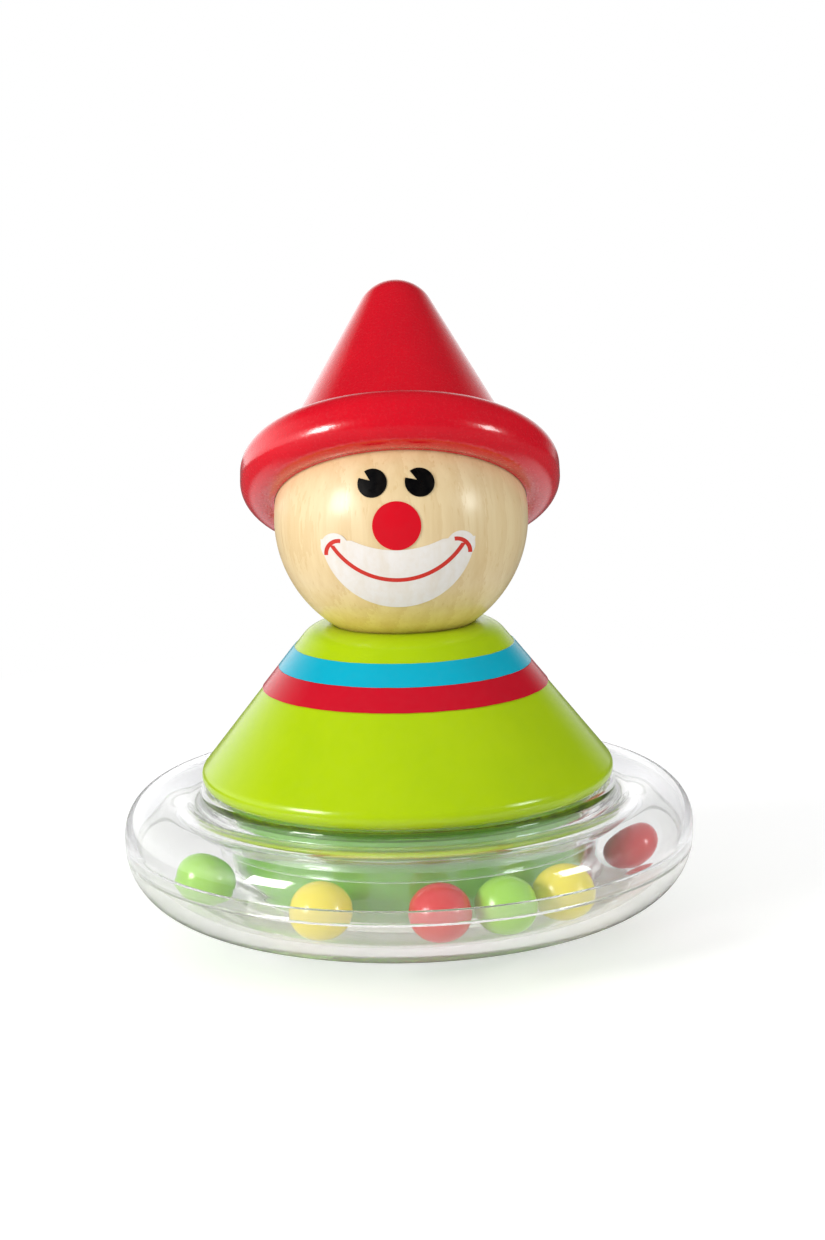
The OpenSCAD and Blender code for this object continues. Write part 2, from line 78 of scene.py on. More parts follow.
def turned(name, outline, sides=192, closed=False, crease=35):
    """Sweeps an outline of (radius, height) in millimetres round the upright axis."""
    shape = bmesh.new()
    rings = []
    for radius, height in outline:
        if radius < ON_AXIS:
            rings.append([shape.verts.new((0, 0, height * MM))] * sides)
            continue
        ring = []
        for i in range(sides):
            angle = 2 * math.pi * i / sides
            x = radius * MM * math.cos(angle)
            y = radius * MM * math.sin(angle)
            ring.append(shape.verts.new((x, y, height * MM)))
        rings.append(ring)
    next_rings = rings[1:] + rings[:1] if closed else rings[1:]
    for low, high in zip(rings, next_rings):
        for i in range(sides):
            j = (i + 1) % sides
            corners = [low[i], low[j], high[j], high[i]]
            corners = [v for n, v in enumerate(corners) if v not in corners[:n]]
            if len(corners) > 2:
                shape.faces.new(corners)
    bmesh.ops.recalc_face_normals(shape, faces=shape.faces)
    mesh = bpy.data.meshes.new(name)
    shape.to_mesh(mesh)
    shape.free()
    mesh.shade_smooth()
    mesh.set_sharp_from_angle(angle=math.radians(crease))
    piece = bpy.data.objects.new(name, mesh)
    bpy.context.scene.collection.objects.link(piece)
    return piece


def place(piece, finish, slot, body, *nodes):
    """Gives a piece its finish, hangs it under its body's empty and hides the CAD nodes it stands for.
    """
    piece.data.materials.clear()
    piece.data.materials.append(finish)
    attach(piece, body)
    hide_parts(*nodes)
    print(piece.name, "faces:", len(piece.data.polygons))


print("lathe helpers: arc, line, turned, place")

# %% [markdown]
# A finish is a small tree of shader nodes. A few helpers keep the trees short: they add a node and
# fill its sockets, do one sum, make noise, remap a value, blend two colours, read a height and
# stack bumps. Noise is made in the piece's own space, so it never slides when the piece moves.
# Object coordinates are in metres, so a noise scale of 1000 gives spots of about a millimetre.

# %% Shader helpers
def new_finish(name):
    """A material with its node tree and its Principled shader."""
    finish = bpy.data.materials.new(name)
    finish.use_nodes = True
    tree = finish.node_tree
    return finish, tree, tree.nodes["Principled BSDF"]


def add(tree, kind, inputs=None, **settings):
    """Adds a shader node; inputs are values or sockets, by name or number."""
    node = tree.nodes.new("ShaderNode" + kind)
    for key, value in settings.items():
        setattr(node, key, value)
    for key, value in (inputs or {}).items():
        if isinstance(value, bpy.types.NodeSocket):
            tree.links.new(value, node.inputs[key])
        else:
            node.inputs[key].default_value = value
    return node


def calc(tree, operation, first, second):
    """Adds a Math node and gives its result."""
    return add(tree, "Math", {0: first, 1: second}, operation=operation).outputs[0]


def grain(tree, scale, stretch=(1, 1, 1), detail=4.0, twist=0.0, lean=0.0):
    """Noise in the piece's own space, leaned back with it and squeezed along each axis by stretch."""
    mapping = {
        "Vector": add(tree, "TexCoord").outputs["Object"],
        "Rotation": (-math.radians(lean), 0, 0),
        "Scale": tuple(1 / v for v in stretch),
    }
    where = add(tree, "Mapping", mapping, vector_type="TEXTURE").outputs["Vector"]
    noise = {"Vector": where, "Scale": scale, "Detail": detail, "Distortion": twist}
    return add(tree, "TexNoise", noise).outputs["Fac"]


def spread(tree, value, from_low, from_high, to_low, to_high):
    """Remaps a value, clamped at both ends."""
    limits = {0: value, 1: from_low, 2: from_high, 3: to_low, 4: to_high}
    return add(tree, "MapRange", limits).outputs[0]


def blend(tree, share, colour_a, colour_b, mode="MIX"):
    """Blends two colours by a share from 0 to 1."""
    as_rgba = lambda c: (*c, 1.0) if isinstance(c, tuple) else c
    inputs = {0: share, 6: as_rgba(colour_a), 7: as_rgba(colour_b)}
    return add(tree, "Mix", inputs, data_type="RGBA", blend_type=mode).outputs[2]


def height_of(tree, vector):
    """The upright part of a place or a direction."""
    return add(tree, "SeparateXYZ", {0: vector}).outputs["Z"]


def relief(tree, shader, *layers):
    """Stacks bumps of (height, strength, depth in mm), puts them on the shader and gives the normal."""
    normal = None
    for height, strength, depth in layers:
        inputs = {"Height": height, "Strength": strength, "Distance": depth * MM}
        if normal is not None:
            inputs["Normal"] = normal
        normal = add(tree, "Bump", inputs).outputs["Normal"]
    tree.links.new(normal, shader.inputs["Normal"])
    return normal


print("shader helpers: new_finish, add, calc, grain, spread, blend, height_of, relief")

# %% [markdown]
# The head is a bare ball of pale maple under a thin satin varnish. Maple has faint upright growth
# lines, fine fibres and tiny pores. Growth lines are nested cylinders in the log, so distorted
# rings round an axis beside the ball give the right curves on its surface; plain stripes would not
# bend as real ones do. Low on the ball the wood is tinted golden yellow. This is painted bounce
# light from the lime body below, not a colour of the wood.

# %% Maple finish
MAPLE_LIGHT = (0.84, 0.64, 0.34)
MAPLE_DARK = (0.64, 0.39, 0.12)
MAPLE_SAP = (0.88, 0.73, 0.48)
LOG_AXIS = (0.075, 0.05, 0)
ALONG_LOG = 0.07
FIBRE_SCALE = 520
FIBRE_STRETCH = (1, 1, 0.035)
RING_SHARE = 0.34
FIBRE_SHARE = 0.26
SAP_SHARE = 0.30
PORE_SHARE = 0.35


def fibres(tree):
    """Fine upright fibres, the same in bare wood and under printed ink."""
    return grain(tree, FIBRE_SCALE, FIBRE_STRETCH, 3)


def maple(name, light, dark, painted_bounce=None):
    """Pale wood with growth lines, fibres and pores along its own Z; painted bounce light at its foot.
    """
    finish, tree, shader = new_finish(name)
    where = add(tree, "TexCoord").outputs["Object"]
    beside = {"Vector": where, "Location": LOG_AXIS, "Scale": (1, 1, ALONG_LOG)}
    log = add(tree, "Mapping", beside).outputs["Vector"]
    growth = {"Vector": log, "Scale": 62, "Distortion": 3.2, "Detail": 3, "Detail Scale": 22}
    rings = add(
        tree, "TexWave", growth, wave_type="RINGS", rings_direction="Z", wave_profile="SAW"
    ).outputs["Fac"]
    fibre = fibres(tree)
    wander = grain(tree, 40, (1, 1, 0.25), 3)
    pores = spread(tree, grain(tree, 1500, (1, 1, 0.09), 2), 0.62, 0.72, 0, 1)
    colour = blend(tree, spread(tree, rings, 0.25, 1.0, 0.0, RING_SHARE), light, dark)
    colour = blend(tree, spread(tree, fibre, 0.4, 0.72, 0.0, FIBRE_SHARE), colour, dark)
    colour = blend(tree, spread(tree, wander, 0.35, 0.75, 0.0, SAP_SHARE), colour, MAPLE_SAP)
    colour = blend(tree, calc(tree, "MULTIPLY", pores, PORE_SHARE), colour, dark)
    # Painted bounce light: the foot is tinted by the yellow-green light that the lime body throws up.
    if painted_bounce:
        foot, top, golden = painted_bounce
        share = spread(tree, height_of(tree, where), foot * MM, top * MM, 1.0, 0.0)
        colour = blend(tree, share, colour, golden, "MULTIPLY")
    tree.links.new(colour, shader.inputs["Base Color"])
    tree.links.new(spread(tree, fibre, 0.3, 0.7, 0.50, 0.60), shader.inputs["Roughness"])
    relief(tree, shader, (fibre, 0.10, 0.12), (pores, 0.12, -0.05))
    shader.inputs["Specular IOR Level"].default_value = 1.0
    shader.inputs["Coat Weight"].default_value = 0.6
    shader.inputs["Coat Roughness"].default_value = 0.24
    return finish


print("maple, light and dark:", MAPLE_LIGHT, MAPLE_DARK)

# %% [markdown]
# The ball is turned from one block and drilled from below for the dowel that joins it to the body.
# A ready-made sphere would lack the hole, so the outline starts at the hole's roof, comes down its
# side and runs up round the ball.

# %% Turned head ball
HEAD_R = 25.0
HEAD_SINK = 4.3
CONE_TOP = 1000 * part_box("body")[1].z
HEAD_Z = CONE_TOP - HEAD_SINK + HEAD_R
NECK_PIN_R = 5.05
NECK_PIN_DEPTH = 13.4
# Painted bounce light: the ball is tinted golden from its foot up to this height.
BOUNCE_TOP = HEAD_Z - 0.42 * HEAD_R
BOUNCE_GOLD = (1.0, 0.96, 0.10)
neck_edge = math.degrees(math.acos(NECK_PIN_R / HEAD_R))
hole_roof = HEAD_Z - HEAD_R + NECK_PIN_DEPTH
head_outline = [(0, hole_roof), (NECK_PIN_R, hole_roof)]
head_outline += arc(0, HEAD_Z, HEAD_R, -neck_edge, 90, 110)[:-1] + [(0, HEAD_Z + HEAD_R)]
head = turned("head_ball", head_outline)
# Painted bounce light from the lime body, low on the ball.
head_lime_bounce = (HEAD_Z - HEAD_R, BOUNCE_TOP, BOUNCE_GOLD)
head_finish = maple("maple_varnished", MAPLE_LIGHT, MAPLE_DARK, head_lime_bounce)
place(head, head_finish, "bare_wood", "toy", "head")

# %% [markdown]
# The face is printed on the varnished ball: black eyes with a bare wedge, a red nose, a pale patch
# and a thin red smile. The CAD films already follow the ball, so they stay and only get ink. Ink on
# wood is never even: it is a little mottled, and the fibres below show through.

# %% Ink finish for the printed face
FILM_CREASE = 30


def ink(name, colour, under, show, rough):
    """Printed ink through which the fibres of the wood below show a little."""
    finish, tree, shader = new_finish(name)
    fibre = fibres(tree)
    mottle = grain(tree, 900, detail=5)
    shade = blend(tree, spread(tree, fibre, 0.42, 0.75, 0.0, show), colour, under)
    shade = blend(tree, spread(tree, mottle, 0.45, 0.75, 0.0, show * 0.6), shade, under)
    uneven = spread(tree, mottle, 0.3, 0.7, rough - 0.05, rough + 0.07)
    tree.links.new(shade, shader.inputs["Base Color"])
    tree.links.new(uneven, shader.inputs["Roughness"])
    relief(tree, shader, (fibre, 0.08, 0.10), (mottle, 0.06, 0.04))
    shader.inputs["Specular IOR Level"].default_value = 0.2
    return finish


def finish_node(name, finish):
    """Puts a finish on a CAD node that stays in view."""
    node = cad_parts[name]
    node.data.materials.clear()
    node.data.materials.append(finish)
    node.data.shade_smooth()
    node.data.set_sharp_from_angle(angle=math.radians(FILM_CREASE))


black_ink = ink("ink_black", (0.0015, 0.0015, 0.002), (0.010, 0.008, 0.006), 0.5, 0.30)
red_ink = ink("ink_red", (0.66, 0.001, 0.012), (0.58, 0.004, 0.014), 0.4, 0.34)
pale_ink = ink("ink_pale", (0.83, 0.79, 0.76), (0.74, 0.64, 0.52), 0.45, 0.36)
smile_ink = ink("ink_smile", (0.66, 0.035, 0.025), (0.50, 0.06, 0.04), 0.4, 0.36)
finish_node("eyes", black_ink)
finish_node("nose", red_ink)
finish_node("mouth", pale_ink)
finish_node("smile", smile_ink)
print("inks:", black_ink.name, red_ink.name, pale_ink.name, smile_ink.name)

# %% [markdown]
# The hat is one turned cone with a rolled brim, dipped in glossy red lacquer. Spray or dip lacquer on
# wood keeps a fine orange peel, a hint of the fibres below and a few dust nibs, and it wears thin on
# the outermost edge of the brim. The hat's last coat shines more than the paint below, so it gets a
# coat layer that follows the same peel. The same recipe, with other numbers, paints body and beads.

# %% Lacquer finish
CLOUD_SHARE = 0.45
PAINT_FIBRE_SHARE = 0.22
COAT_ROUGH = 0.12
FOOT_BLEND = 0.2


def lacquer(
    name, colour, shade, rough, peel,
    speck=0.05, worn=0.03, lean=0.0, shine=0.5, fine=900, foot=None, coat=0.0,
):
    """Coloured lacquer on wood with orange peel, faint fibres, dust nibs and worn edges."""
    finish, tree, shader = new_finish(name)
    cloud = grain(tree, 70, detail=3, twist=0.6)
    fibre = grain(tree, 420, (1, 1, 0.06), 3, lean=lean)
    skin = grain(tree, fine, detail=3)
    nibs = spread(tree, grain(tree, 1300, detail=1), 0.72, 0.76, 0.0, 1.0)
    lighter = tuple(min(1.0, 1.15 * c + 0.02) for c in colour)
    paint = blend(tree, spread(tree, cloud, 0.35, 0.7, 0.0, CLOUD_SHARE), colour, shade)
    paint = blend(tree, spread(tree, fibre, 0.45, 0.75, 0.0, PAINT_FIBRE_SHARE), paint, shade)
    paint = blend(tree, calc(tree, "MULTIPLY", nibs, speck), paint, lighter)
    edge = spread(tree, add(tree, "NewGeometry").outputs["Pointiness"], 0.53, 0.62, 0.0, worn)
    edge = calc(tree, "MULTIPLY", edge, spread(tree, cloud, 0.4, 0.6, 0.2, 1.0))
    paint = blend(tree, edge, paint, lighter)
    if foot:
        top, foot_colour = foot
        height = height_of(tree, add(tree, "TexCoord").outputs["Object"])
        share = spread(tree, height, (top - FOOT_BLEND) * MM, top * MM, 1.0, 0.0)
        paint = blend(tree, share, paint, foot_colour)
    uneven = spread(tree, skin, 0.3, 0.7, rough - 0.04, rough + 0.06)
    tree.links.new(paint, shader.inputs["Base Color"])
    tree.links.new(uneven, shader.inputs["Roughness"])
    bumps = ((fibre, 0.5 * peel, 0.10), (skin, peel, 0.12), (nibs, 0.12 * speck, 0.05))
    tree.links.new(relief(tree, shader, *bumps), shader.inputs["Coat Normal"])
    shader.inputs["Specular IOR Level"].default_value = shine
    shader.inputs["Coat Weight"].default_value = coat
    shader.inputs["Coat Roughness"].default_value = COAT_ROUGH
    return finish


HAT_TILT = 30.0
HAT_RED = (0.71, 0.001, 0.013)
HAT_RED_DEEP = (0.60, 0.0015, 0.014)
hat_finish = lacquer(
    "lacquer_hat_red", HAT_RED, HAT_RED_DEEP, rough=0.24, peel=0.20,
    speck=0.12, worn=0.15, lean=HAT_TILT, shine=0.38, fine=1500, coat=0.7,
)
print("finish:", hat_finish.name)

# %% [markdown]
# On the lathe the hat's crown runs straight from the rounded tip to the brim. The flank touches the
# tip's circle, which gives its slope, and it leaves the brim's upper round where the two cross. That
# crossing is found by stepping along the round, which is easier to read than its formula. The hat is
# turned upright on the head's centre and then leaned back as a whole.

# %% Turned hat
BRIM_R = 31.65
BRIM_W = 9.1
BRIM_FLAT = 1.9
BRIM_LEVEL = 2.9
BRIM_INNER = -110
TIP_REACH = 51.9
TIP_R = 8.2
CROWN_STEP = 1.0
GLUE_GAP = 0.1
HOLLOW_R = HEAD_R + GLUE_GAP
HOLLOW_TRIM = 0.5
HAT_PIN_R = 4.05
HAT_PIN_DEPTH = 12.4
brim_r = BRIM_W / 2
brim_centre = BRIM_R - brim_r
brim_low = BRIM_LEVEL + brim_r
brim_high = brim_low + BRIM_FLAT
tip_z = TIP_REACH - TIP_R
crown_foot = brim_centre - CROWN_STEP
crown_rise = tip_z - brim_high
crown_lean = math.degrees(
    math.atan2(crown_foot, crown_rise) - math.asin(TIP_R / math.hypot(crown_foot, crown_rise))
)
crown_top = arc(0, tip_z, TIP_R, crown_lean, crown_lean, 1)[0]


def crown_line(height):
    """Radius of the crown's straight flank at a height along the hat."""
    return crown_top[0] + (crown_top[1] - height) * math.tan(math.radians(crown_lean))


def brim_meets_crown():
    """Angle on the brim's upper round at which the crown's flank leaves it, in degrees."""
    for step in range(900):
        angle = 90 + step / 10
        r = brim_centre + brim_r * math.cos(math.radians(angle))
        z = brim_high + brim_r * math.sin(math.radians(angle))
        if crown_line(z) >= r:
            return angle
    return 180.0


meet = brim_meets_crown()
meet_point = arc(brim_centre, brim_high, brim_r, meet, meet, 1)[0]
hollow_low = math.degrees(math.asin(BRIM_LEVEL / HOLLOW_R)) + HOLLOW_TRIM
hollow_pin = math.degrees(math.acos(HAT_PIN_R / HOLLOW_R))
hat_outline = [(0, HEAD_R + HAT_PIN_DEPTH), (HAT_PIN_R, HEAD_R + HAT_PIN_DEPTH)]
hat_outline += arc(0, 0, HOLLOW_R, hollow_pin, hollow_low, 40)
hat_outline += arc(brim_centre, brim_low, brim_r, BRIM_INNER, 0, 36)
hat_outline += arc(brim_centre, brim_high, brim_r, 0, meet, 44)
hat_outline += line(meet_point, crown_top, 24)
hat_outline += arc(0, tip_z, TIP_R, crown_lean, 90, 24)[1:-1] + [(0, TIP_REACH)]
hat = turned("cone_hat", hat_outline, sides=224)
lean_back = Matrix.Rotation(math.radians(-HAT_TILT), 4, "X")
hat.data.transform(Matrix.Translation((0, 0, HEAD_Z * MM)) @ lean_back)
place(hat, hat_finish, "hat_red", "toy", "hat")
print("crown leaves the brim at", round(meet, 1), "degrees, flank", round(crown_lean, 2))

# %% [markdown]
# The body is a turned cone, sprayed gloss lime green. Its top is dished for the ball, its shoulder
# and lower edge are rounded, and a narrower spigot below stands in the clear ring. The spigot shows
# a deeper green through the plastic, so the paint changes below the cone's ledge. One outline takes
# in the dish, the flank, the spigot and the pocket for the ballast.

# %% Turned body
LAND = 1.4
SHOULDER_R = 6.0
CONE_R = 41.2
CONE_EDGE_R = 2.5
SPIGOT_R = 35.0
POCKET_R = 26.2
COLLAR_TOP = 1000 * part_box("upper_ring")[1].z
SPIGOT_FOOT = 1000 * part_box("body")[0].z
POCKET_TOP = 1000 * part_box("ballast")[1].z
EDGE_BREAK = 0.4
LEDGE_BREAK = 0.2
LIME = (0.43, 0.61, 0.001)
LIME_DEEP = (0.37, 0.56, 0.001)
SPIGOT_GREEN = (0.15, 0.47, 0.002)
dish_r = HEAD_R + GLUE_GAP
dish_edge_r = math.sqrt(dish_r**2 - (HEAD_R - HEAD_SINK) ** 2)
shoulder_r = math.sqrt(HEAD_R**2 - (HEAD_R - HEAD_SINK) ** 2) + LAND
edge_r = CONE_R - CONE_EDGE_R
edge_z = COLLAR_TOP + CONE_EDGE_R
run = edge_r - shoulder_r
rise = CONE_TOP - SHOULDER_R - edge_z
cone_lean = math.degrees(
    math.atan2(run, rise) - math.asin((SHOULDER_R - CONE_EDGE_R) / math.hypot(run, rise))
)
cone_low = arc(edge_r, edge_z, CONE_EDGE_R, cone_lean, cone_lean, 1)[0]
dish_start = math.degrees(math.acos(NECK_PIN_R / dish_r))
dish_end = math.degrees(math.acos(dish_edge_r / dish_r))
pin_floor = HEAD_Z - HEAD_R - NECK_PIN_DEPTH
ledge_z = COLLAR_TOP - LEDGE_BREAK
foot_z = SPIGOT_FOOT + EDGE_BREAK
body_outline = [(0, pin_floor), (NECK_PIN_R, pin_floor)]
body_outline += arc(0, HEAD_Z, dish_r, -dish_start, -dish_end, 16)
body_outline += arc(shoulder_r, CONE_TOP - SHOULDER_R, SHOULDER_R, 90, cone_lean, 28)
body_outline += line(body_outline[-1], cone_low, 40)
body_outline += arc(edge_r, edge_z, CONE_EDGE_R, cone_lean, -90, 24)[1:]
body_outline += [(SPIGOT_R + EDGE_BREAK, COLLAR_TOP), (SPIGOT_R, ledge_z)]
body_outline += line((SPIGOT_R, ledge_z), (SPIGOT_R, foot_z), 16)
body_outline += arc(SPIGOT_R - EDGE_BREAK, foot_z, EDGE_BREAK, 0, -90, 4)[1:]
body_outline += [(POCKET_R, SPIGOT_FOOT), (POCKET_R, POCKET_TOP), (0, POCKET_TOP)]
body = turned("cone_body", body_outline, sides=224)
green_finish = lacquer(
    "lacquer_lime", LIME, LIME_DEEP, rough=0.19, peel=0.035, foot=(COLLAR_TOP, SPIGOT_GREEN)
)
place(body, green_finish, "green_paint", "toy", "body")
print("cone flank", round(cone_lean, 2), "degrees")

# %% [markdown]
# A blue and a red band are brushed on while the cone turns, so their edges waver by less than a
# tenth of a millimetre. A mask in the body's paint could draw them, but as pieces of their own they
# keep their film thickness. The edge vertices are moved along the flank to make the waver.

# %% Painted bands
FILM = 0.17
FILM_GAP = 0.02
WAVER = 0.05
BAND_STEPS = 12


def band(name, finish, slot):
    """A painted ring as high as its CAD node, with slightly wavering edges."""
    low = 1000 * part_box(name)[0].z
    high = 1000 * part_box(name)[1].z
    lean = math.tan(math.radians(cone_lean))
    flank = lambda z: cone_low[0] - (z - cone_low[1]) * lean
    over = FILM / math.cos(math.radians(cone_lean))
    heights = [low + (high - low) * i / BAND_STEPS for i in range(BAND_STEPS + 1)]
    outline = [(flank(z) + over, z) for z in heights]
    outline += [(flank(z) + FILM_GAP, z) for z in reversed(heights)]
    ring = turned(name + "_coat", outline, sides=288, closed=True)
    for v in ring.data.vertices:
        z = 1000 * v.co.z
        if min(z - low, high - z) < WAVER:
            angle = math.atan2(v.co.y, v.co.x)
            wave = 0.5 * math.sin(9 * angle + low) + 0.3 * math.sin(23 * angle + 2 * low)
            shift = WAVER * (wave + 0.2 * math.sin(47 * angle))
            z_new = min(high, max(low, z + (shift if z - low > 1 else abs(shift))))
            factor = 1 - (z_new - z) * MM * lean / math.hypot(v.co.x, v.co.y)
            v.co = (v.co.x * factor, v.co.y * factor, z_new * MM)
    place(ring, finish, slot, "toy", name)


BAND_BLUE = (0.001, 0.42, 0.59)
BAND_BLUE_DEEP = (0.001, 0.37, 0.53)
BAND_RED = (0.58, 0.004, 0.018)
BAND_RED_DEEP = (0.50, 0.006, 0.020)
blue_finish = lacquer("lacquer_blue", BAND_BLUE, BAND_BLUE_DEEP, rough=0.19, peel=0.04)
red_finish = lacquer("lacquer_band_red", BAND_RED, BAND_RED_DEEP, rough=0.19, peel=0.04)
band("blue_band", blue_finish, "blue_paint")
band("red_band", red_finish, "red_paint")

# %% [markdown]
# The ring is two clear mouldings that meet at a fine seam below the rim. Light bends at every wall,
# so both mouldings are closed solids with a true wall thickness: outer skin, inner skin, collar,
# seam tongue and bead track. A thin sheet with a glass finish would not bend light at all. First the
# heights of rim, seam and track are worked out from a few radii and walls.

# %% Ring sizes
BASE_R = 1000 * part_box("upper_ring")[1].x
DOME_R = 135.0
UNDER_R = 11.995
ROLL_R = 8.193
RIM_FLAT = 1.8
TROUGH_SLOPE = 35.0
COLLAR_R = 41.75
COLLAR_EDGE = 1.1
COLLAR_FOOT = 0.8
UPPER_WALL = 2.0
LOWER_WALL = 2.6
WELL_R = 35.4
WALL_R = 37.4
TRACK_R = 7.0
SEAM_DROP = 1.6
TONGUE_H = 2.1
TONGUE_R = BASE_R - 1.15
SEAM_FIT = 0.1
GROOVE = 0.3
WELL_SEAM_RISE = 3.0
RING_CREASE = 25
slope = math.radians(TROUGH_SLOPE)
under_r = BASE_R - UNDER_R
rim_z = DOME_R - math.sqrt((DOME_R - UNDER_R) ** 2 - under_r**2)
under_lean = math.degrees(math.asin(under_r / (DOME_R - UNDER_R)))
roll_r = BASE_R - ROLL_R
roll_z = rim_z + RIM_FLAT
seam_z = rim_z - SEAM_DROP
seam_r = under_r + math.sqrt(UNDER_R**2 - SEAM_DROP**2)
track_r = WALL_R + TRACK_R
track_reach = DOME_R - LOWER_WALL - TRACK_R
track_z = DOME_R - math.sqrt(track_reach**2 - track_r**2)
track_lean = math.degrees(math.asin(track_r / track_reach))
well_seam = track_z + WELL_SEAM_RISE


def trough(radius, inset):
    """Height of the trough's slope at a radius, inset by a wall."""
    return roll_z + (ROLL_R - inset) / math.cos(slope) - (roll_r - radius) * math.tan(slope)


def under_angle(height):
    """Angle on the turn below the rim that lies at a height."""
    return math.degrees(math.asin((height - rim_z) / UNDER_R))


print("rim", round(rim_z, 2), "seam", round(seam_z, 2), "track", round(track_z, 2))

# %% [markdown]
# Clear moulded plastic bends light and mirrors the room, but it is never perfectly clear. The outer
# skin is a little misty, the walls inside are polished, and low down the dome is scuffed by rolling.
# So a glass-like shader is mixed with a small share of matt and translucent mist. Light that falls
# on matt surfaces passes straight through, because bent light would leave the inside dark and noisy.

# %% Clear plastic finish
PLASTIC_IOR = 1.49
PASSING = (0.955, 0.955, 0.96, 1)
BACK_SHARE = 0.65
POLISHED = 0.01
INSIDE_R = 39.0
OUTSIDE_R = 49.0
SCUFF_LOW = 5.0
SCUFF_HIGH = 12.0
SCUFF_MIST = 0.36


def mist_share(tree, cloudy, scuffed):
    """Share of mist on the plastic: more at the outer skin, and most low down where it is scuffed."""
    where = add(tree, "TexCoord").outputs["Object"]
    flat = add(tree, "VectorMath", {0: where, 1: (1, 1, 0)}, operation="MULTIPLY").outputs["Vector"]
    reach = add(tree, "VectorMath", {0: flat}, operation="LENGTH").outputs["Value"]
    outside = spread(tree, reach, INSIDE_R * MM, OUTSIDE_R * MM, POLISHED, cloudy)
    scuffs = SCUFF_MIST if scuffed else 0.0
    rolled = spread(tree, height_of(tree, where), SCUFF_LOW * MM, SCUFF_HIGH * MM, scuffs, 0.0)
    return calc(tree, "MAXIMUM", outside, rolled)


def clear_plastic(name, tint, cloudy, scuffed):
    """Clear moulded plastic, a little cloudy, with faint flow waves and scuffs where it rolls."""
    finish, tree, shader = new_finish(name)
    waves = grain(tree, 45, (1, 1, 2.5), 2, 0.4)
    haze = grain(tree, 160, detail=5, twist=0.5)
    hair = spread(tree, grain(tree, 700, (1, 0.06, 1), 2), 0.66, 0.72, 0, 1)
    shader.inputs["Base Color"].default_value = (*tint, 1)
    shader.inputs["Transmission Weight"].default_value = 1.0
    shader.inputs["Coat Weight"].default_value = 0.3
    shader.inputs["Coat Roughness"].default_value = 0.30
    shader.inputs["IOR"].default_value = PLASTIC_IOR
    rough = spread(tree, haze, 0.45, 0.75, 0.0, 0.03 + scuffed)
    tree.links.new(rough, shader.inputs["Roughness"])
    relief(tree, shader, (waves, 0.05, 0.25), (hair, 0.02 + 0.2 * scuffed, 0.02))
    front = add(tree, "BsdfDiffuse", {"Color": (*tint, 1)}).outputs[0]
    back = add(tree, "BsdfTranslucent", {"Color": (*tint, 1)}).outputs[0]
    mist = add(tree, "MixShader", {0: BACK_SHARE, 1: front, 2: back}).outputs[0]
    share = mist_share(tree, cloudy, scuffed)
    misty = add(tree, "MixShader", {0: share, 1: shader.outputs[0], 2: mist}).outputs[0]
    path = add(tree, "LightPath").outputs
    soft = calc(tree, "MAXIMUM", path["Is Shadow Ray"], path["Is Diffuse Ray"])
    passing = add(tree, "BsdfTransparent", {"Color": PASSING}).outputs[0]
    both = add(tree, "MixShader", {0: soft, 1: misty, 2: passing}).outputs[0]
    tree.links.new(both, tree.nodes["Material Output"].inputs["Surface"])
    return finish


upper_finish = clear_plastic("clear_upper", (0.98, 0.98, 0.995), cloudy=0.032, scuffed=0.0)
lower_finish = clear_plastic("clear_lower", (1.0, 0.995, 0.98), cloudy=0.14, scuffed=0.02)
print("finishes:", upper_finish.name, lower_finish.name)

# %% [markdown]
# The upper moulding is one closed outline. From the seam it goes round the rolled rim, down the
# trough, up the collar that carries the cone and down the skirt round the spigot. Then it comes back
# along the inner skin to the groove for the tongue, where its last ring of vertices joins the first.

# %% Upper moulding
inner_roll = ROLL_R - UPPER_WALL
inner_collar = COLLAR_R - UPPER_WALL
ceiling_z = COLLAR_TOP - UPPER_WALL
skirt_z = well_seam + SEAM_FIT
tongue_roof = seam_z + TONGUE_H + SEAM_FIT
corner_r = COLLAR_R + COLLAR_FOOT
corner_z = trough(corner_r, 0) + COLLAR_FOOT / math.cos(slope)
upper_outline = [(seam_r - GROOVE, seam_z)]
upper_outline += arc(under_r, rim_z, UNDER_R, under_angle(seam_z + GROOVE), 0, 6)
upper_outline += arc(roll_r, roll_z, ROLL_R, 0, 90 + TROUGH_SLOPE, 56)
upper_outline += arc(corner_r, corner_z, COLLAR_FOOT, 270 + TROUGH_SLOPE, 180, 8)
upper_outline += arc(COLLAR_R - COLLAR_EDGE, COLLAR_TOP - COLLAR_EDGE, COLLAR_EDGE, 0, 90, 10)
upper_outline += [(WELL_R, COLLAR_TOP), (WELL_R, skirt_z), (WALL_R, skirt_z)]
upper_outline += [(WALL_R, ceiling_z), (inner_collar, ceiling_z)]
upper_outline += [(inner_collar, trough(inner_collar, UPPER_WALL))]
upper_outline += arc(roll_r, roll_z, inner_roll, 90 + TROUGH_SLOPE, 0, 48)
upper_outline += [(BASE_R - UPPER_WALL, tongue_roof), (TONGUE_R + SEAM_FIT, tongue_roof)]
upper_outline += [(TONGUE_R + SEAM_FIT, seam_z)]
upper = turned("ring_upper", upper_outline, sides=288, closed=True, crease=RING_CREASE)
place(upper, upper_finish, "clear_plastic", "toy", "upper_ring")

# %% [markdown]
# The lower moulding is the dome that the toy rocks on. Its outline starts at the lowest point, runs
# up the dome and the turn below the rim to the seam and its tongue, and comes back inside through
# the bead track, over the wall round the spigot and along the floor of the well.

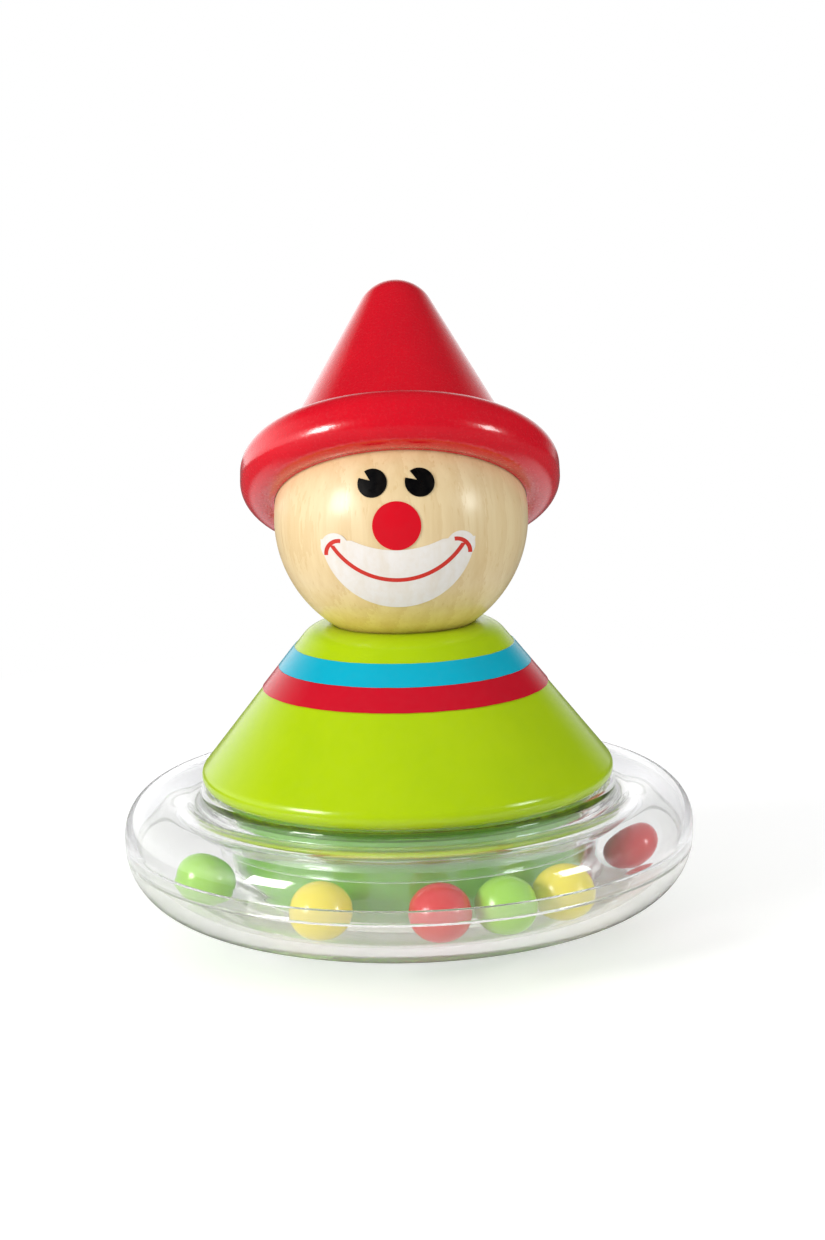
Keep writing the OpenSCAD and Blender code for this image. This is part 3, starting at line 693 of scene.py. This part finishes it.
# %% Lower moulding
turn_r = UNDER_R - LOWER_WALL
dome_angle = 270 + under_lean
inner_well = math.degrees(math.asin(WELL_R / (DOME_R - LOWER_WALL)))
tongue_top = seam_z + TONGUE_H
lower_outline = [(0, 0)] + arc(0, DOME_R, DOME_R, 270, dome_angle, 40)[1:]
lower_outline += arc(under_r, rim_z, UNDER_R, under_lean - 90, under_angle(seam_z - GROOVE), 30)[1:]
lower_outline += [(seam_r - GROOVE, seam_z), (TONGUE_R, seam_z), (TONGUE_R, tongue_top)]
lower_outline += [(BASE_R - LOWER_WALL, tongue_top)]
lower_outline += arc(under_r, rim_z, turn_r, 0, under_lean - 90, 30)
lower_outline += arc(track_r, track_z, TRACK_R, track_lean - 90, -180, 40)
lower_outline += [(WALL_R, well_seam), (WELL_R, well_seam)]
lower_outline += arc(0, DOME_R, DOME_R - LOWER_WALL, 270 + inner_well, 270, 30)[:-1]
lower_outline += [(0, LOWER_WALL)]
lower = turned("ring_lower", lower_outline, sides=288, crease=RING_CREASE)
print("lower outline points:", len(lower_outline))

# %% [markdown]
# Three screw bosses stand on the ring's floor, and their bores go through the dome. Only this is not
# round about the axis, so tubes are added and the bores are cut with Boolean modifiers.

# %% Screw bosses and bores
BOSS_R = 4.6
BOSS_LOW = 4.95
BOSS_SIDES = 48
BORE_R = 3.5
BORE_PAST = 1.0
SHANK_R = 1.95
SCREW_CIRCLE = 31.0
SCREW_SEAT = SPIGOT_FOOT - 2.4
SCREW_ANGLES = (90, 210, 330)
bore_top = SPIGOT_FOOT + BORE_PAST
boss_outline = [(0, BOSS_LOW), (BOSS_R, BOSS_LOW), (BOSS_R, SPIGOT_FOOT), (0, SPIGOT_FOOT)]
bore_outline = [(0, -BORE_PAST), (BORE_R, -BORE_PAST), (BORE_R, SCREW_SEAT)]
bore_outline += [(SHANK_R, SCREW_SEAT), (SHANK_R, bore_top), (0, bore_top)]


def at_screw(name, outline, angle):
    """Turns a piece on the axis and moves it out to one of the screws."""
    piece = turned(name, outline, sides=BOSS_SIDES)
    turn = math.radians(angle)
    shift = Vector((SCREW_CIRCLE * math.cos(turn), SCREW_CIRCLE * math.sin(turn), 0))
    piece.data.transform(Matrix.Translation(shift * MM))
    return piece


def cut(piece, tool, operation):
    """Applies a Boolean modifier and removes its tool."""
    step = piece.modifiers.new("cut", "BOOLEAN")
    step.object = tool
    step.operation = operation
    step.solver = "EXACT"
    bpy.context.view_layer.objects.active = piece
    bpy.ops.object.modifier_apply(modifier=step.name)
    bpy.data.objects.remove(tool)


for screw_angle in SCREW_ANGLES:
    cut(lower, at_screw("boss", boss_outline, screw_angle), "UNION")
    cut(lower, at_screw("bore", bore_outline, screw_angle), "DIFFERENCE")
lower.data.shade_smooth()
lower.data.set_sharp_from_angle(angle=math.radians(RING_CREASE))
place(lower, lower_finish, "clear_plastic", "toy", "lower_ring")

# %% [markdown]
# Six turned beads roll in the track, two of each colour, tumbled in glossy lacquer. Turning leaves
# small flats at the two ends of the bead's axis, so a plain sphere would be too perfect. Each bead
# gets its own tilt, which also turns its patch of the noise.

# %% Beads
BEAD_R = 5.75
BEAD_FLAT = 0.35
BEAD_AXIS = Vector((1, 0.4, 0.3))
BEAD_COLOURS = {
    "red": ((0.76, 0.002, 0.004), (0.66, 0.003, 0.005)),
    "yellow": ((0.97, 0.82, 0.07), (0.93, 0.75, 0.06)),
    "green": ((0.36, 0.74, 0.05), (0.31, 0.67, 0.04)),
}
BEAD_TILT = {
    "red_bead_1": 35,
    "yellow_bead_1": 80,
    "green_bead_1": 15,
    "red_bead_2": 120,
    "yellow_bead_2": 55,
    "green_bead_2": 160,
}
bead_paint = {
    word: lacquer("bead_" + word + "_gloss", *shades, rough=0.20, peel=0.05, worn=0.0, shine=0.6)
    for word, shades in BEAD_COLOURS.items()
}


def bead(name):
    """One bead at its CAD node's place."""
    low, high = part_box(name)
    cap = math.degrees(math.asin(BEAD_FLAT / BEAD_R))
    pole = BEAD_R * math.cos(math.radians(cap))
    outline = [(0, -pole)] + arc(0, 0, BEAD_R, cap - 90, 90 - cap, 44) + [(0, pole)]
    ball = turned(name + "_ball", outline, sides=72)
    tilt = Matrix.Rotation(math.radians(BEAD_TILT[name]), 4, BEAD_AXIS)
    ball.matrix_world = Matrix.Translation((low + high) / 2) @ tilt
    colour = name.split("_")[0]
    place(ball, bead_paint[colour], "bead_" + colour, name, name)


for bead_name in BEAD_TILT:
    bead(bead_name)

# %% [markdown]
# From below, the steel ballast, the screws and their plugs show through the dome. The ballast disc
# was faced on a lathe, so it carries fine circles; the screws are zinc plated and the plugs are
# milky plastic. These are CAD nodes that stay, with metal and plastic finishes of their own. The
# two dowels are plain wood.

# %% Steel, zinc, plug and dowel finishes
TARNISH = 0.6


def faced_steel(name, colour, rough, circles):
    """Turned metal with fine circles, blotches and a little tarnish."""
    finish, tree, shader = new_finish(name)
    where = add(tree, "TexCoord").outputs["Object"]
    cuts = {"Vector": where, "Scale": circles, "Distortion": 0.6, "Detail": 2}
    lathe = add(tree, "TexWave", cuts, wave_type="RINGS", rings_direction="Z").outputs["Fac"]
    tarnish = grain(tree, 120, detail=6, twist=0.8)
    dark = tuple(TARNISH * c for c in colour)
    metal = blend(tree, spread(tree, tarnish, 0.45, 0.75, 0, TARNISH), colour, dark)
    uneven = spread(tree, tarnish, 0.3, 0.7, rough - 0.08, rough + 0.12)
    tree.links.new(metal, shader.inputs["Base Color"])
    tree.links.new(uneven, shader.inputs["Roughness"])
    shader.inputs["Metallic"].default_value = 1.0
    relief(tree, shader, (lathe, 0.15, 0.05), (tarnish, 0.1, 0.05))
    return finish


def milky_plastic(name, light, dark):
    """Slightly cloudy plug plastic."""
    finish, tree, shader = new_finish(name)
    cloud = grain(tree, 300, detail=4)
    skin = grain(tree, 1800, detail=2)
    milk = blend(tree, spread(tree, cloud, 0.35, 0.7, 0, 0.5), light, dark)
    tree.links.new(milk, shader.inputs["Base Color"])
    tree.links.new(spread(tree, cloud, 0.3, 0.7, 0.28, 0.42), shader.inputs["Roughness"])
    relief(tree, shader, (skin, 0.08, 0.04))
    shader.inputs["Transmission Weight"].default_value = 0.35
    return finish


steel = faced_steel("steel_faced", (0.50, 0.50, 0.52), 0.36, 420)
zinc = faced_steel("zinc_plated", (0.72, 0.69, 0.60), 0.30, 900)
milky = milky_plastic("plug_milky", (0.80, 0.82, 0.84), (0.70, 0.72, 0.75))
pin_finish = maple("maple_pin", (0.70, 0.52, 0.30), (0.55, 0.38, 0.20))
finish_node("ballast", steel)
finish_node("ballast_screw", zinc)
finish_node("ring_screws", zinc)
finish_node("screw_plugs", milky)
finish_node("hat_dowel", pin_finish)
finish_node("neck_dowel", pin_finish)
print("finishes:", steel.name, zinc.name, milky.name, pin_finish.name)

# %% [markdown]
# The toy stands on white. The floor is a pale disc that keeps the shadow and brightens to white
# further off, so the white comes from the floor and not from more light. Seen through the plastic it
# is white. In reflections it is dark, because a wide white floor would veil the lacquer; only a patch
# beside and behind the toy stays bright, which lights the edges of the ring.

# %% Floor
FLOOR_RADII = (0, 150, 600, 2500)
FLOOR_DROP = 0.05
FLOOR_PALE = (0.80, 0.80, 0.80)
FLOOR_FLECK = (0.83, 0.83, 0.83)
FLOOR_SHEEN = (0.14, 0.14, 0.14)
FLOOR_LIFT = 0.42
WHITE = (1, 1, 1, 1)
FADE_RANGE = (0.09, 0.30)
PATCH_WHITE = 0.85
PATCH_FRONT = (-0.03, 0.02)
PATCH_INNER = (0.05, 0.075)
PATCH_OUTER = (0.12, 0.17)


def bright_patch(tree, spot, reach):
    """Brightness of the floor beside and behind the toy, as reflections show it."""
    depth = add(tree, "SeparateXYZ", {0: spot}).outputs["Y"]
    patch = spread(tree, depth, *PATCH_FRONT, 0.0, PATCH_WHITE)
    patch = calc(tree, "MULTIPLY", patch, spread(tree, reach, *PATCH_INNER, 0.0, 1.0))
    return calc(tree, "MULTIPLY", patch, spread(tree, reach, *PATCH_OUTER, 1.0, 0.0))


def pale_floor():
    """A wide pale disc, white far off and through plastic, dark in most reflections."""
    ground = turned("studio_floor", [(r, -FLOOR_DROP) for r in FLOOR_RADII], sides=96)
    finish, tree, shader = new_finish("floor_pale")
    path = add(tree, "LightPath").outputs
    pale = blend(tree, grain(tree, 500, detail=3), FLOOR_PALE, FLOOR_FLECK)
    colour = blend(tree, path["Is Glossy Ray"], pale, FLOOR_SHEEN)
    tree.links.new(colour, shader.inputs["Base Color"])
    shader.inputs["Roughness"].default_value = 0.9
    spot = add(tree, "NewGeometry").outputs["Position"]
    reach = add(tree, "VectorMath", {0: spot}, operation="LENGTH").outputs["Value"]
    seen = calc(tree, "MAXIMUM", path["Is Camera Ray"], path["Is Transmission Ray"])
    white = calc(tree, "MULTIPLY", seen, spread(tree, reach, *FADE_RANGE, 0.0, 1.0))
    white = calc(tree, "MAXIMUM", white, path["Is Transmission Ray"])
    mirrored = calc(tree, "MULTIPLY", bright_patch(tree, spot, reach), path["Is Glossy Ray"])
    white = calc(tree, "MAXIMUM", white, mirrored)
    level = calc(tree, "MULTIPLY", seen, FLOOR_LIFT)
    lift = add(tree, "Emission", {"Color": WHITE, "Strength": level}).outputs[0]
    near = add(tree, "AddShader", {0: shader.outputs[0], 1: lift}).outputs[0]
    glow = add(tree, "Emission", {"Color": WHITE, "Strength": 1.0}).outputs[0]
    both = add(tree, "MixShader", {0: white, 1: near, 2: glow}).outputs[0]
    tree.links.new(both, tree.nodes["Material Output"].inputs["Surface"])
    ground.data.materials.append(finish)
    return ground


print("floor:", pale_floor().name)

# %% [markdown]
# All round it is white for the camera and for what is seen through plastic. Matt surfaces get soft
# light that is stronger from above. Reflections show a dim room with one bright backdrop, at the
# left behind the toy and below a dark ceiling: an even white world would veil every gloss.

# %% World
WORLD_LIGHT = 0.48
FROM_BELOW = 0.5
FROM_ABOVE = 1.5
ROOM_SHEEN = 0.03
BACKDROP_SHEEN = 1.25
BACKDROP_SIDE = (-0.75, 0.65, 0.10)
BACKDROP_EDGE = (-0.05, 0.60)
CEILING_EDGE = (0.20, 0.60)


def studio_world():
    """White to look at, soft light on matt surfaces and a dim room in reflections."""
    world = bpy.data.worlds.new("studio_white")
    world.use_nodes = True
    tree = world.node_tree
    path = add(tree, "LightPath").outputs
    glossy = path["Is Glossy Ray"]
    heading = add(tree, "TexCoord").outputs["Generated"]
    above = height_of(tree, heading)
    side = add(tree, "VectorMath", {0: heading, 1: BACKDROP_SIDE}, operation="DOT_PRODUCT")
    backdrop = spread(tree, side.outputs["Value"], *BACKDROP_EDGE, 0.0, 1.0)
    backdrop = calc(tree, "MULTIPLY", backdrop, spread(tree, above, *CEILING_EDGE, 1.0, 0.0))
    sheen = spread(tree, backdrop, 0, 1, ROOM_SHEEN, BACKDROP_SHEEN)
    soft = spread(tree, above, -1, 1, FROM_BELOW * WORLD_LIGHT, FROM_ABOVE * WORLD_LIGHT)
    mirrored = calc(tree, "MULTIPLY", glossy, sheen)
    matt = calc(tree, "MULTIPLY", calc(tree, "SUBTRACT", 1.0, glossy), soft)
    seen = calc(tree, "MAXIMUM", path["Is Camera Ray"], path["Is Transmission Ray"])
    level = calc(tree, "MAXIMUM", calc(tree, "ADD", mirrored, matt), seen)
    background = tree.nodes["Background"]
    background.inputs["Color"].default_value = WHITE
    tree.links.new(level, background.inputs["Strength"])
    return world


bpy.context.scene.world = studio_world()
print("world light", WORLD_LIGHT)

# %% [markdown]
# Two soft square lamps stand in front: a larger one at the left and a smaller, weaker one at the
# right. Spot lamps would give hard shadows; the size of a soft lamp sets the size of the highlights
# on brim and head.

# %% Lamps
HEAD_POINT = Vector((0, 0, HEAD_Z * MM))
LAMP_REACH = 0.9


def soft_lamp(name, direction, size, watts, colour):
    """A square soft lamp that looks at the head from a direction."""
    data = bpy.data.lights.new(name, "AREA")
    data.energy = watts
    data.color = colour
    data.size = size
    lamp = bpy.data.objects.new(name, data)
    bpy.context.scene.collection.objects.link(lamp)
    lamp.location = HEAD_POINT + Vector(direction).normalized() * LAMP_REACH
    lamp.rotation_euler = (HEAD_POINT - lamp.location).to_track_quat("-Z", "Y").to_euler()
    print(name, "watts:", watts)


soft_lamp("lamp_left", (-0.805, -0.527, 0.29), 0.27, 5.5, (1.0, 0.99, 0.97))
soft_lamp("lamp_right", (0.88, -0.40, 0.24), 0.20, 1.9, (0.92, 1.0, 0.98))

# %% [markdown]
# The camera stands a little above the toy's head and looks slightly down. Its place, lens and small
# roll follow the picture's perspective: the ellipses of brim, bands and rim fix them. Light passes
# many walls of the ring, so it is followed through more bends than Blender does by itself.

# %% Camera
CAMERA_AT = Vector((0, -396.4, 133.75)) * MM
LOOK_DOWN = 10.11
LOOK_RIGHT = 0.25
ROLL = -1.47
FOCAL_PX = 2024.7
LONG_SIDE_PX = 1240
BENDS = 32
MIRRORINGS = 24
camera_data = bpy.data.cameras.new("camera")
camera_data.sensor_width = 36.0
camera_data.lens = FOCAL_PX * camera_data.sensor_width / LONG_SIDE_PX
camera_data.clip_start = 0.01
camera = bpy.data.objects.new("camera", camera_data)
bpy.context.scene.collection.objects.link(camera)
turn_right = Matrix.Rotation(math.radians(-LOOK_RIGHT), 4, "Z")
tip_down = Matrix.Rotation(math.radians(90 - LOOK_DOWN), 4, "X")
roll = Matrix.Rotation(math.radians(ROLL), 4, "Z")
camera.matrix_world = Matrix.Translation(CAMERA_AT) @ turn_right @ tip_down @ roll
bpy.context.scene.camera = camera
bpy.context.scene.view_settings.view_transform = "Standard"
bpy.context.scene.cycles.max_bounces = BENDS
bpy.context.scene.cycles.transmission_bounces = BENDS
bpy.context.scene.cycles.transparent_max_bounces = BENDS
bpy.context.scene.cycles.glossy_bounces = MIRRORINGS
print("lens in mm:", round(camera_data.lens, 2))
